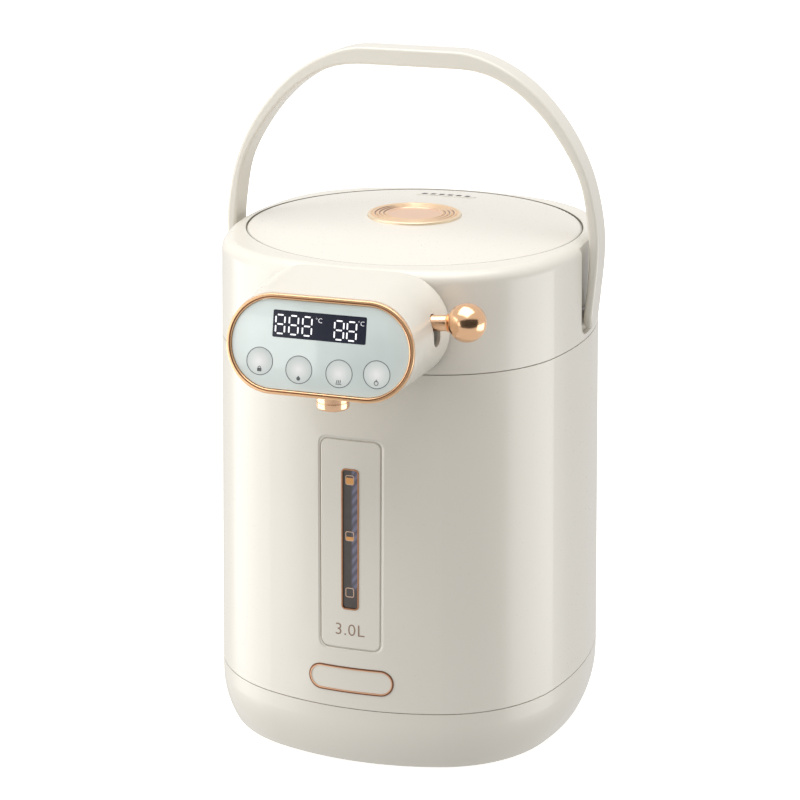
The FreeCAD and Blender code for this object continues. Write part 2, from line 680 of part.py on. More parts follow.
def pump_impeller():
    x, y, z = PUMP_X, PUMP_Y, PUMP_Z
    wheel = cyl(13.2, z + 10.8, z + 12.4, x, y).fuse(cyl(4.0, z + 10.8, z + 17.0, x, y))
    for i in range(6):
        vane = box(3.0, -0.6, z + 12.0, 12.8, 0.6, z + 18.4)
        vane.rotate(V(3, 0, 0), V(0, 0, 1), 24)
        vane = vane.common(cyl(12.8, z, z + 30))
        vane.rotate(V(0, 0, 0), V(0, 0, 1), 60 * i)
        vane.translate(V(x, y, 0))
        wheel = wheel.fuse(vane)
    wheel = wheel.fuse(cyl(1.5, z + 1.0, z + 11.5, x, y))
    return wheel.removeSplitter()


def pump_motor():
    x, y, z = PUMP_X, PUMP_Y, PUMP_Z
    can = cyl(14.0, z - 14.0, z + 8.0, x, y)
    can = can.cut(cyl(1.6, z, z + 9.0, x, y))
    return can


def pump_bracket():
    x, y, z = PUMP_X, PUMP_Y, PUMP_Z
    strap = tube(15.6, 14.05, z - 12.0, z - 2.0, x, y)
    for s in (-1, 1):
        foot = box(x + s * 15 - 5, y - 5, Z_FLOOR + 2.6, x + s * 15 + 5, y + 5, z - 2.0)
        strap = strap.fuse(foot.cut(cyl(14.05, 0, 40, x, y)))
    return strap.removeSplitter()


def suction_hose():
    # short silicone sleeve from the pot's spout to the pump inlet
    return tube(6.4, 4.3, 46.0, 64.0, PUMP_X, PUMP_Y)


def delivery_hose():
    # from the pump outlet forward and up to the foot of the sight tube
    x = PUMP_X + 12.0
    z = PUMP_Z + 15.0
    route = [V(x, PUMP_Y - 22.0, z), V(x, PUMP_Y - 44.0, z), V(0, TUBE_Y, z + 15.0),
             V(0, TUBE_Y, TUBE_Z0)]
    return hose(route, 4.6, 3.2, 12.0)


def pot_clips():
    # four clips under the pot's flange, screwed to the collar
    clips = []
    for i in range(4):
        clip = box(R_POT + 0.7, -6, 249.2, 91.0, 6, 251.0).cut(cyl(1.7, 240, 260, CLIP_R, 0))
        clip.rotate(V(0, 0, 0), V(0, 0, 1), 45 + 90 * i)
        clip.translate(V(0, Y_POT, 0))
        clips.append(clip)
    return Part.Compound(clips)


def clip_screws():
    spots = around_pot(4, CLIP_R, 45)
    return Part.Compound([screw(p.x, p.y, 249.2, 1, 4.6, 1.4, 2.6, 1.6) for p in spots])


def main_board():
    board = box(2.0, -34.0, BOARD_Z, 66.0, 44.0, BOARD_Z + 1.6)
    for x, y in ((6, -30), (62, -30), (6, 40), (62, 40)):
        board = board.cut(cyl(1.7, 0, 40, x, y))
    blocks = [(10, 6, 26, 22, 18), (42, 10, 16, 20, 15), (12, -22, 12, 12, 14), (34, -24, 24, 14, 10)]
    for x0, y0, w, d, h in blocks:
        board = board.fuse(box(x0, y0, BOARD_Z + 1.0, x0 + w, y0 + d, BOARD_Z + 1.6 + h))
    return board.removeSplitter()


def board_posts():
    posts = []
    for x, y in ((6, -30), (62, -30), (6, 40), (62, 40)):
        post = cyl(3.2, Z_FLOOR + 2.6, BOARD_Z, x, y).fuse(cyl(1.6, BOARD_Z - 1, BOARD_Z + 4.0, x, y))
        posts.append(post.removeSplitter())
    return Part.Compound(posts)


PIN_SPOTS = [(-7.0, -2.0), (7.0, -2.0), (0.0, 3.0)]


def power_inlet():
    # recessed appliance inlet in the back of the body
    flange = front_block(38.0, 30.0, 4.0, INLET_Z, HALF_D - 1.0, HALF_D + 1.6)
    flange = flange.cut(straight(0.0, 30, 100))
    body = front_block(33.0, 25.0, 2.9, INLET_Z, 84.0, HALF_D + 0.6)
    inlet = flange.fuse(body)
    inlet = inlet.cut(front_block(27.4, 19.6, 2.5, INLET_Z, 87.0, HALF_D + 8))
    for x, dz in PIN_SPOTS:
        inlet = inlet.cut(box(x - 2.05, 80.0, INLET_Z + dz - 1.05, x + 2.05, 90.0, INLET_Z + dz + 1.05))
    return inlet.removeSplitter()


def inlet_pins():
    pins = []
    for x, dz in PIN_SPOTS:
        pin = box(x - 2.0, 78.0, INLET_Z + dz - 1.0, x + 2.0, 98.5, INLET_Z + dz + 1.0)
        pins.append(pin)
    return Part.Compound(pins)


def head_housing():
    outer = stadium_loft(0.0, -95.0, -158.0)
    inner = stadium_loft(-HEAD_WALL, -84.0, -160.0)
    shell = outer.cut(inner).cut(in_front_of_face(0.0))
    shell = shell.cut(plan_solid(collar_profile(-0.1)))
    shell = shell.cut(cyl(NOZZLE_R + 0.1, 190, 225, 0, NOZZLE_Y))
    return shell.cut(lever_slot()).removeSplitter()


def lever_slot():
    # round ended slot that the stem travels in, its top end round the stem at rest
    r = STEM_R + 0.3
    low, high = 241.2, LEVER_Z + 31.0 * math.tan(math.radians(LEVER_UP))
    slot = box(36.0, LEVER_Y - r, low, 60.0, LEVER_Y + r, high)
    for z in (low, high):
        slot = slot.fuse(rod(r, V(36, LEVER_Y, z), V(60, LEVER_Y, z)))
    return slot


def head_base():
    # carrier inside the head, screwed to the collar, holds lever, switch and boards
    plate = front_block(84.0, 40.0, 18.0, HEAD_Z, HEAD_PLATE_Y, HEAD_PLATE_Y + 2.0)
    plate = plate.cut(front_block(30.0, 24.0, 6.0, HEAD_Z + 2.0, -115, -90))
    for x in (-TAP_SCREW_X, TAP_SCREW_X):
        spacer = rod(3.6, V(x, HEAD_PLATE_Y + 1, HEAD_Z), V(x, -90, HEAD_Z))
        plate = plate.fuse(spacer.cut(straight(-0.1, 200, 260)))
        plate = plate.cut(rod(1.4, V(x, -115, HEAD_Z), V(x, -85, HEAD_Z)))
    return plate.removeSplitter()


def tap_screws():
    # two screws from inside the collar into the tap head's plate
    screws = []
    for x in (-TAP_SCREW_X, TAP_SCREW_X):
        head = rod(2.8, V(x, -90.5, HEAD_Z), V(x, -88.5, HEAD_Z))
        screws.append(head.fuse(rod(1.35, V(x, -90.5, HEAD_Z), V(x, -104.5, HEAD_Z))))
    return Part.Compound(screws)


def lever_bracket():
    # two ears that carry the lever's pin
    x, y, z = LEVER_X, LEVER_Y, LEVER_Z
    part = box(x - 5, y - 7.2, 214.0, x + 22, y + 7.2, 219.6)
    for y0 in (y - 7.2, y + 4.8):
        part = part.fuse(box(x - 5, y0, 219.0, x + 5, y0 + 2.4, z + 5.0))
    part = part.fuse(box(x + 2, y - 4.2, 219.0, x + 22, y + 4.2, 223.0))
    part = part.cut(rod(1.55, V(x, y - 12, z), V(x, y + 12, z)))
    return part.common(stadium_loft(-HEAD_WALL - 0.05, -84, -160)).removeSplitter()


def lever_pin():
    x, y, z = LEVER_X, LEVER_Y, LEVER_Z
    return rod(1.5, V(x, y - 7.6, z), V(x, y + 7.2, z))


def tap_lever():
    # hub on the pin and a round stem that leaves through the side slot
    x, y, z = LEVER_X, LEVER_Y, LEVER_Z
    hub = rod(5.0, V(x, y - 3.4, z), V(x, y + 3.4, z))
    stem = rod(STEM_R, V(x, y, z), V(BALL_X - 6.0, y, z))
    flat = box(x, y - 3.0, z - STEM_R, x + 14.0, y + 3.0, z)
    lever = hub.fuse(stem).fuse(flat)
    lever = lever.cut(rod(1.55, V(x, y - 12, z), V(x, y + 12, z)))
    return raised(lever).removeSplitter()


def raised(shape):
    # turned up about the lever's pin to its place at rest
    shape.rotate(V(LEVER_X, LEVER_Y, LEVER_Z), V(0, 1, 0), -LEVER_UP)
    return shape


def lever_ball():
    x, y, z = BALL_X, LEVER_Y, LEVER_Z
    ball = Part.makeSphere(BALL_R, V(x, y, z))
    return raised(ball.cut(rod(STEM_R, V(x - 30, y, z), V(x - 6.0, y, z))))


def lever_spring():
    # torsion spring beside the hub, drawn as the sleeve that its turns fill
    x, y, z = LEVER_X, LEVER_Y, LEVER_Z
    sleeve = rod(3.6, V(x, y - 4.78, z), V(x, y - 4.06, z))
    return sleeve.cut(rod(2.6, V(x, y - 6, z), V(x, y, z)))


def switch_body():
    x, y = LEVER_X + 7.0, LEVER_Y
    body = box(x - 5.0, y - 3.2, 223.1, x + 15.0, y + 3.2, 233.1)
    return body.cut(box(x - 1.3, y - 1.3, 227.0, x + 1.3, y + 1.3, 240.0))


def switch_plunger():
    x, y = LEVER_X + 7.0, LEVER_Y
    return box(x - 1.2, y - 1.2, 230.0, x + 1.2, y + 1.2, 242.4)


def nozzle():
    y = NOZZLE_Y
    z = NOZZLE_Z
    runs = [[(3.2, z), (6.8, z)],
            [(6.8, z), (NOZZLE_R - 0.35, z + 0.35), (NOZZLE_R, z + 1.2)],
            [(NOZZLE_R, z + 1.2), (NOZZLE_R, 219.0)],
            [(NOZZLE_R, 219.0), (5.0, 219.0)],
            [(5.0, 219.0), (5.0, 232.0)],
            [(5.0, 232.0), (3.2, 232.0)],
            [(3.2, 232.0), (3.2, z)]]
    return turned_run(runs, 0, y)


def outlet_hose():
    # from the top of the sight tube over into the nozzle
    route = [V(0, TUBE_Y, TUBE_Z1), V(0, TUBE_Y, 247.0), V(0, NOZZLE_Y, 247.0), V(0, NOZZLE_Y, 232.0)]
    return hose(route, 4.6, 3.2, 14.0)


def sight_tube():
    return tube(TUBE_R, TUBE_R - 0.9, TUBE_Z0, TUBE_Z1, 0, TUBE_Y)


def trim_ring():
    # bead over the housing's front edge, with a spigot and a ledge under the glass
    ring = tap_block(RING_W, RING_H, RING_H / 2 - 0.4, 0.05, 2.0)
    spigot = tap_block(91.8, 44.6, 21.9, -2.8, 1.0)
    ring = ring.fuse(spigot)
    ring = ring.cut(tap_block(GLASS_W + 0.3, GLASS_H + 0.3, GLASS_H / 2 - 0.2, -0.55, 6))
    return ring.cut(tap_block(88.5, 41.5, 20.4, -8, 6)).removeSplitter()


def display_glass():
    return tap_block(GLASS_W, GLASS_H, GLASS_H / 2 - 0.3, -0.5, 1.0)


def display_module():
    return tap_block(50.0, 17.0, 1.0, -5.4, -0.6, -4.0, 9.0)


def touch_board():
    board = tap_block(82.0, 20.0, 6.0, -3.4, -1.8, 0.0, -10.4)
    for u in (-30.0, -10.0, 10.0, 30.0):
        board = board.fuse(tap_block(9.0, 9.0, 4.4, -2.0, -0.6, u, -10.4))
    inside = tap_block(87.8, 40.8, 20.0, -8, 2)
    return board.common(inside).removeSplitter()


def display_board():
    return tap_block(80.0, 36.0, 12.0, -8.2, -6.6)


PARTS = [
    ("base_tray", base_tray), ("rubber_feet", rubber_feet), ("base_screws", base_screws),
    ("body_shell", body_shell), ("collar", collar), ("badge_ring", badge_ring),
    ("window_bezel", window_bezel), ("window_lens", window_lens), ("lens_seat", lens_seat),
    ("sight_tube", sight_tube), ("suction_hose", suction_hose), ("delivery_hose", delivery_hose),
    ("inner_pot", inner_pot), ("pot_gasket", pot_gasket), ("insulation_jacket", insulation_jacket),
    ("heater_plate", heater_plate), ("pot_clips", pot_clips), ("clip_screws", clip_screws),
    ("temperature_sensor", temperature_sensor), ("thermal_cutout", thermal_cutout),
    ("pump_housing", pump_housing), ("pump_impeller", pump_impeller), ("pump_motor", pump_motor),
    ("pump_bracket", pump_bracket),
    ("main_board", main_board), ("board_posts", board_posts), ("power_inlet", power_inlet),
    ("inlet_pins", inlet_pins), ("handle", handle), ("handle_pins", handle_pins),
    ("lid_cover", lid_cover), ("lid_liner", lid_liner), ("lid_gasket", lid_gasket),
    ("lid_medallion", lid_medallion), ("steam_grille", steam_grille), ("steam_valve", steam_valve),
    ("head_housing", head_housing), ("head_base", head_base), ("tap_screws", tap_screws),
    ("trim_ring", trim_ring), ("display_glass", display_glass), ("display_module", display_module),
    ("touch_board", touch_board), ("display_board", display_board), ("nozzle", nozzle),
    ("outlet_hose", outlet_hose), ("lever_bracket", lever_bracket), ("lever_pin", lever_pin),
    ("tap_lever", tap_lever), ("lever_ball", lever_ball), ("lever_spring", lever_spring),
    ("switch_body", switch_body), ("switch_plunger", switch_plunger),
]

os.makedirs("parts", exist_ok=True)
for name, make in PARTS:
    shape = make()
    solids = shape.Solids
    ok = shape.isValid() and len(solids) > 0
    print(name, len(solids), "solids", round(shape.Volume / 1000, 2), "cm3", "ok" if ok else "BAD")
    shape.exportStep("parts/" + name + ".step")
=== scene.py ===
import json
import math

import bpy
from mathutils import Matrix, Vector


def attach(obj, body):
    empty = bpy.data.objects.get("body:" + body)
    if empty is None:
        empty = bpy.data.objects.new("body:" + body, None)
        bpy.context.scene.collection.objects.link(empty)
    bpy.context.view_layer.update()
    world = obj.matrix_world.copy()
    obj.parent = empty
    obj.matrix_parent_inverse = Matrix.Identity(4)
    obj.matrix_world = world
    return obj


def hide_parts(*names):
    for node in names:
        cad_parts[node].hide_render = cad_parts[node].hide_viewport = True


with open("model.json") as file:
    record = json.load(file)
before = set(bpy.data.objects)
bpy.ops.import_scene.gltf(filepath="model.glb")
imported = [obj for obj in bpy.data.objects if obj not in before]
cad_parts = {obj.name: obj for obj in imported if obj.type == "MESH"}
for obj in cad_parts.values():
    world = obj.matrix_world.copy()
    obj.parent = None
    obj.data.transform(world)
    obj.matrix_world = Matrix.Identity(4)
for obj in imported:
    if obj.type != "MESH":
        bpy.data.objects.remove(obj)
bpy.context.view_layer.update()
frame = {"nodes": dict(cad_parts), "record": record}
nodes = frame["nodes"]
MM = 0.001

# Where the photograph was taken from, and what the lens saw.
CAMERA_PLACE = (0.39236, -1.19422, 0.56181)
CAMERA_AZIMUTH = 18.498
CAMERA_ELEVATION = 17.221
CAMERA_LENS = 109.56

# The tap head's tilted front face: its middle, and how far it leans back.
FACE_Y = -142.0 * MM
FACE_Z = 240.1 * MM
FACE_LEAN = math.radians(11.0)
FACE_TURN = Matrix(((1.0, 0.0, 0.0),
                    (0.0, math.sin(FACE_LEAN), -math.cos(FACE_LEAN)),
                    (0.0, math.cos(FACE_LEAN), math.sin(FACE_LEAN))))

# The bead round that face, in millimetres: across, up, corner, breadth and thickness.
BEAD_ACROSS, BEAD_UP, BEAD_CORNER, BEAD_BROAD, BEAD_THICK = 95.6, 48.7, 23.95, 2.35, 1.95

# The front of the body is an arc of this radius that leans in by TAPER above the base seam.
FRONT_R = 150.0 * MM
FRONT_Y = -103.0 * MM
TAPER = 0.017
SEAM_Z = 34.6 * MM

# Outlines on the front: the middle across and up, the size, and the corner's radius.
PANEL = ((0.0, 124.35 * MM), (33.2 * MM, 113.3 * MM), 4.0 * MM)
BADGE = ((0.0, 50.7 * MM), (46.4 * MM, 14.3 * MM), 7.1 * MM)

# The lid's middle lies a little behind the body's.
LID_Y = 2.8 * MM

# The side pockets that the handle stands in: floor, edge, top and half their breadth.
POCKET_FLOOR, POCKET_EDGE = 93.0 * MM, 96.3 * MM
POCKET_TOP, POCKET_HALF = 267.5 * MM, 13.7 * MM

# The medallion's radii: the edge of its plain middle, its lip, and the lip's crown.
MEDAL_PLAIN, MEDAL_LIP, MEDAL_CROWN = 14.5 * MM, 22.6 * MM, 23.8 * MM

# The nozzle's middle, the lever's pivot, and how far the lever points up at rest.
NOZZLE_Y = -125.0 * MM
LEVER = (18.0 * MM, -112.5 * MM, 246.0 * MM)
LEVER_UP = math.radians(5.5)

# How thick a printed mark is, in millimetres.
PRINT = 0.05
THIN_PRINT = 0.04


class Sock:
    """A socket of one finish, so that shader maths reads as an expression."""

    def __init__(self, finish, out):
        self.finish = finish
        self.out = out

    def maths(self, operation, *others):
        terms = dict(enumerate((self,) + others))
        return self.finish.node("ShaderNodeMath", {"operation": operation}, terms)

    def __add__(self, other):
        return self.maths("ADD", other)

    def __mul__(self, other):
        return self.maths("MULTIPLY", other)

    def __sub__(self, other):
        return self.maths("SUBTRACT", other)

    def __rsub__(self, other):
        return (self * -1.0) + other

    def __truediv__(self, other):
        return self.maths("DIVIDE", other)

    def __gt__(self, other):
        return self.maths("GREATER_THAN", other)

    def __lt__(self, other):
        return self.maths("LESS_THAN", other)

    def __abs__(self):
        return self.maths("ABSOLUTE")

    def above(self, low):
        """The larger of this and low."""
        return self.maths("MAXIMUM", low)

    def clamp(self):
        return self.above(0.0).maths("MINIMUM", 1.0)

    __radd__ = __add__
    __rmul__ = __mul__


class Finish:
    """A material: constants are set on the shader, and node() adds what varies."""

    def __init__(self, name, **constants):
        self.material = bpy.data.materials.new(name)
        self.material.use_nodes = True
        self.tree = self.material.node_tree
        self.shader = self.tree.nodes["Principled BSDF"]
        self.surface(**constants)

    def node(self, kind, settings=None, inputs=None, output=0):
        node = self.tree.nodes.new(kind)
        for key, value in (settings or {}).items():
            setattr(node, key, value)
        for key, value in (inputs or {}).items():
            self.feed(node.inputs[key], value)
        return Sock(self, node.outputs[output])

    def feed(self, socket, value):
        if isinstance(value, Sock):
            self.tree.links.new(value.out, socket)
        else:
            socket.default_value = value

    def surface(self, **links):
        for key, value in links.items():
            self.feed(self.shader.inputs[key.replace("_", " ")], value)

    def place(self):
        return self.node("ShaderNodeTexCoord", output="Object")

    def axis(self, letter, place=None):
        place = place or self.place()
        return self.node("ShaderNodeSeparateXYZ", None, {0: place}, letter)

    def noise(self, scale, detail=3.0, stretch=None, rough=0.5):
        place = self.place()
        if stretch:
            place = self.node("ShaderNodeMapping", None, {"Vector": place, "Scale": stretch})
        terms = {"Vector": place, "Scale": scale, "Detail": detail, "Roughness": rough}
        return self.node("ShaderNodeTexNoise", None, terms)

    def between(self, low, high, factor):
        """A number that runs from low to high as factor runs from 0 to 1."""
        return factor * (high - low) + low

    def blend(self, a, b, factor):
        """A colour between a and b."""
        return self.node("ShaderNodeMix", {"data_type": "RGBA"},
                         {"Factor": factor, 6: a, 7: b}, 2)

    def radius(self, x, y):
        """How far a place is from the middle, from its two offsets."""
        return (x * x + y * y).maths("SQRT")

    def off_outline(self, place, middle, size, corner):
        """Signed distance from a rounded rectangle drawn on the front, across X and up Z."""
        reach = [half * 0.5 - corner for half in size]
        x = (abs(self.axis("X", place) - middle[0]) - reach[0]).above(0.0)
        z = (abs(self.axis("Z", place) - middle[1]) - reach[1]).above(0.0)
        return self.radius(x, z) - corner

    def bump(self, height, strength, distance, normal=None):
        terms = {"Height": height, "Strength": strength, "Distance": distance}
        if normal:
            terms["Normal"] = normal
        return self.node("ShaderNodeBump", None, terms)


def rgb(red, green, blue):
    """A display colour, 0 to 255, as the linear colour that shaders use."""
    linear = []
    for part in (red, green, blue):
        c = part / 255.0
        linear.append(c / 12.92 if c <= 0.04045 else ((c + 0.055) / 1.055) ** 2.4)
    return (*linear, 1.0)


def scaled(colour, by):
    """A linear colour made lighter or darker."""
    return tuple(min(1.0, c * by) for c in colour[:3]) + (1.0,)


CREAM = rgb(236, 232, 222)
CREAM_CLOUD = rgb(230, 225, 213)
SHELL_GLOSS = {"Specular_IOR_Level": 0.5, "Coat_Weight": 0.5, "Coat_Roughness": 0.27}


def moulded_plastic(name, colour, darker, rough=0.3, coat=0.25):
    f = Finish(name, Specular_IOR_Level=0.5, Coat_Weight=coat, Coat_Roughness=0.27)
    cloud = f.noise(9.0, 4.0)
    grain = f.noise(900.0, 2.0)
    f.surface(Base_Color=f.blend(darker, colour, f.between(0.25, 1.0, cloud)),
              Roughness=f.between(rough - 0.03, rough + 0.05, grain),
              Normal=f.bump(grain, 0.06, 0.0002))
    return f


def grooved_shell(name, colour, darker):
    """The body's plastic with the soft lips of the groove that frames the level window."""
    f = Finish(name, **SHELL_GLOSS)
    place = f.place()
    cloud = f.noise(9.0, 4.0)
    grain = f.noise(900.0, 2.0)
    lip = 1.1 * MM
    front = -50.0 * MM
    off = abs(f.off_outline(place, *PANEL))
    dip = (off * (1.0 / lip)).clamp() * (f.axis("Y", place) < front)
    dip = dip + (f.axis("Y", place) > front)
    grained = f.bump(grain, 0.06, 0.0002)
    f.surface(Base_Color=f.blend(darker, colour, f.between(0.25, 1.0, cloud)),
              Roughness=f.between(0.25, 0.33, grain),
              Normal=f.bump(dip, 1.0, 0.0006, grained))
    return f


def pocketed_shell(name, colour, painted_shade_colour):
    """The collar's plastic, with painted shade in its two handle pockets, deepest at the front.
    """
    f = Finish(name, **SHELL_GLOSS)
    place = f.place()
    grain = f.noise(900.0, 2.0)
    x = abs(f.axis("X", place))
    y = f.axis("Y", place)
    below = ((POCKET_TOP - f.axis("Z", place)) * 120.0).clamp()
    inside = (x > POCKET_FLOOR) * (abs(y) < POCKET_HALF) * below
    toward_front = ((y * -1.0 - 0.004) * 130.0).clamp() * 0.6 + 0.4
    # Painted shade: the pocket's colour darkened towards its edge and its front.
    depth = ((POCKET_EDGE - x) * 600.0).clamp() * inside * toward_front
    f.surface(Base_Color=f.blend(colour, painted_shade_colour, depth),
              Roughness=f.between(0.25, 0.33, grain),
              Normal=f.bump(grain, 0.06, 0.0002))
    return f


def badge_metal(name):
    """Plated ring: bright, with painted shade of deep bronze over its outer half."""
    f = Finish(name, Metallic=0.8)
    off = f.off_outline(f.place(), *BADGE)
    inner = ((off * -1.0 - 0.6 * MM) * 4000.0).clamp()
    streak = f.noise(60.0, 5.0)
    # Painted shade: the outer half darkened to bronze.
    f.surface(Base_Color=f.blend(rgb(128, 84, 60), rgb(232, 184, 150), inner),
              Roughness=f.between(0.24, 0.36, streak))
    return f


def trim_metal(name):
    """Plated bead round the tap face: bright, with a painted dark reflection along its inner
    side.
    """
    f = Finish(name, Metallic=0.66, Coat_Weight=0.15, Coat_Roughness=0.08)
    place = f.place()
    up = ((f.axis("Y", place) - FACE_Y) * math.sin(FACE_LEAN)
          + (f.axis("Z", place) - FACE_Z) * math.cos(FACE_LEAN))
    straight = 0.5 * (BEAD_ACROSS - BEAD_UP) * MM
    along = (abs(f.axis("X", place)) - straight).above(0.0)
    from_edge = 0.5 * BEAD_UP * MM - f.radius(along, up)
    # Painted dark reflection: a thin dark band 1.5 mm in from the bead's outer edge.
    painted_dark_reflection = ((0.4 * MM - abs(from_edge - 1.5 * MM)) * 5000.0).clamp()
    streak = f.noise(60.0, 5.0, stretch=(1.0, 1.0, 9.0))
    f.surface(Base_Color=f.blend(rgb(255, 206, 158), rgb(150, 92, 58), painted_dark_reflection),
              Roughness=f.between(0.15, 0.27, streak))
    return f


def medallion_metal(name):
    """Peach middle, gold rings and a pale lip, by the distance from the lid's middle."""
    f = Finish(name, Metallic=0.55, Coat_Weight=0.2, Coat_Roughness=0.1)
    place = f.place()
    across = f.axis("X", place)
    out = f.radius(across, f.axis("Y", place) - LID_Y)
    ringed = ((out - MEDAL_PLAIN) * 2500.0).clamp()
    rings = f.blend(rgb(248, 208, 178), rgb(250, 216, 178), ringed)
    # Painted shade: the ring grooves darkened, only on the left and right sides.
    painted_shade_sides = ((abs(across) / out - 0.72) * 6.0).clamp()
    groove = f.node("ShaderNodeMath", {"operation": "PINGPONG"},
                    {0: out - 0.2 * MM, 1: 1.15 * MM}) * 870.0
    painted_groove_shade = ((0.42 - groove) * 6.0).clamp() * painted_shade_sides * ringed
    rings = f.blend(rings, rgb(150, 102, 78), painted_groove_shade * 0.8)
    rim = f.blend(rgb(252, 222, 184), rgb(250, 230, 200), ((out - MEDAL_CROWN) * 3000.0).clamp())
    brushed = f.noise(40.0, 6.0, stretch=(1.0, 1.0, 0.1))
    f.surface(Base_Color=f.blend(rings, rim, ((out - MEDAL_LIP) * 2500.0).clamp()),
              Roughness=f.between(0.26, 0.4, brushed))
    return f


def plated_metal(name, colour, deep, rough=0.2, metal=0.85):
    f = Finish(name, Metallic=metal, Coat_Weight=0.15, Coat_Roughness=0.08)
    streak = f.noise(60.0, 5.0, stretch=(1.0, 1.0, 9.0))
    speck = f.noise(1500.0, 2.0)
    f.surface(Base_Color=f.blend(deep, colour, f.between(0.4, 1.0, streak)),
              Roughness=f.between(rough - 0.05, rough + 0.07, streak) + (speck - 0.5) * 0.05,
              Normal=f.bump(speck, 0.04, 0.0001))
    return f


def brushed_steel(name, colour, rough=0.32, along=(1.0, 1.0, 60.0)):
    f = Finish(name, Metallic=0.72)
    lines = f.noise(14.0, 8.0, stretch=along, rough=0.7)
    cloud = f.noise(30.0, 3.0)
    f.surface(Base_Color=f.blend(scaled(colour, 0.72), colour, f.between(0.3, 1.0, cloud)),
              Roughness=f.between(rough - 0.08, rough + 0.1, lines),
              Normal=f.bump(lines, 0.12, 0.0002))
    return f


def soft_rubber(name, colour, lighter, rough=0.6):
    f = Finish(name, Specular_IOR_Level=0.35)
    grain = f.noise(700.0, 4.0)
    cloud = f.noise(40.0, 3.0)
    f.surface(Base_Color=f.blend(colour, lighter, cloud),
              Roughness=f.between(rough - 0.08, rough + 0.1, grain),
              Normal=f.bump(grain, 0.25, 0.0003))
    return f


def clear_sheet(name, colour, rough, alpha):
    f = Finish(name, Specular_IOR_Level=0.6, Coat_Weight=0.6, Coat_Roughness=0.03)
    haze = f.noise(25.0, 3.0)
    f.surface(Base_Color=f.blend(colour, scaled(colour, 1.35), haze),
              Roughness=f.between(rough, rough + 0.05, haze),
              Alpha=f.between(alpha - 0.05, alpha + 0.05, haze))
    return f


def circuit_board(name):
    f = Finish(name, Coat_Weight=0.4, Coat_Roughness=0.2)
    cells = f.node("ShaderNodeTexVoronoi", {"feature": "DISTANCE_TO_EDGE"},
                   {"Vector": f.place(), "Scale": 260.0})
    track = cells < 0.08
    f.surface(Base_Color=f.blend(rgb(22, 92, 48), rgb(60, 140, 78), track),
              Roughness=f.between(0.35, 0.5, track),
              Normal=f.bump(track, 0.3, 0.0002))
    return f


def felt(name):
    f = Finish(name, Sheen_Weight=0.4, Specular_IOR_Level=0.2)
    hair = f.noise(420.0, 8.0, stretch=(1.0, 1.0, 0.35), rough=0.8)
    cloud = f.noise(35.0, 4.0)
    f.surface(Base_Color=f.blend(rgb(170, 163, 150), rgb(226, 220, 206), (hair + cloud) * 0.5),
              Roughness=f.between(0.85, 1.0, hair),
              Normal=f.bump(hair, 0.8, 0.0008))
    return f


def glow_painted_print(name):
    """Print whose painted glow brightens it towards each key's middle, by the piece's own
    attribute.
    """
    f = Finish(name, Specular_IOR_Level=0.6, Coat_Weight=0.5, Coat_Roughness=0.04)
    glow = f.node("ShaderNodeAttribute", {"attribute_name": "glow"}, output="Fac")
    grain = f.noise(500.0, 2.0)
    # Painted glow: the base colour whiter towards each key's middle.
    f.surface(Base_Color=f.blend(rgb(218, 226, 224), rgb(255, 255, 255), glow),
              Roughness=f.between(0.1, 0.2, grain))
    return f


def level_window(name):
    """Smoked pane: dark brown, with painted violet sheen in slanting bands on the right above
    the lowest mark.
    """
    f = Finish(name, Specular_IOR_Level=0.5, Coat_Weight=0.5, Coat_Roughness=0.05)
    place = f.place()
    slant = f.node("ShaderNodeMapping", None, {"Vector": place, "Scale": (-1.3, 0.0, 1.0)})
    band = f.node("ShaderNodeTexWave", {"bands_direction": "DIAGONAL"},
                  {"Vector": slant, "Scale": 118.0, "Distortion": 1.6, "Detail": 2.0,
                   "Detail Scale": 2.0})
    right = ((f.axis("X", place) - 0.3 * MM) * 900.0).clamp()
    above = ((f.axis("Z", place) - 99.0 * MM) * 250.0).clamp()
    dark = f.blend(rgb(62, 55, 51), rgb(88, 82, 79), f.noise(120.0, 3.0))
    # Painted sheen: violet bands standing in for a reflection on the pane.
    painted_sheen = f.blend(rgb(92, 90, 104), rgb(126, 126, 152), band)
    f.surface(Base_Color=f.blend(dark, painted_sheen, right * above),
              Roughness=f.between(0.08, 0.16, band))
    return f


def lit_print(name):
    f = moulded_plastic(name, rgb(250, 251, 255), rgb(240, 243, 252), 0.3, 0.0)
    f.surface(Emission_Color=rgb(250, 251, 255), Emission_Strength=0.5)
    return f


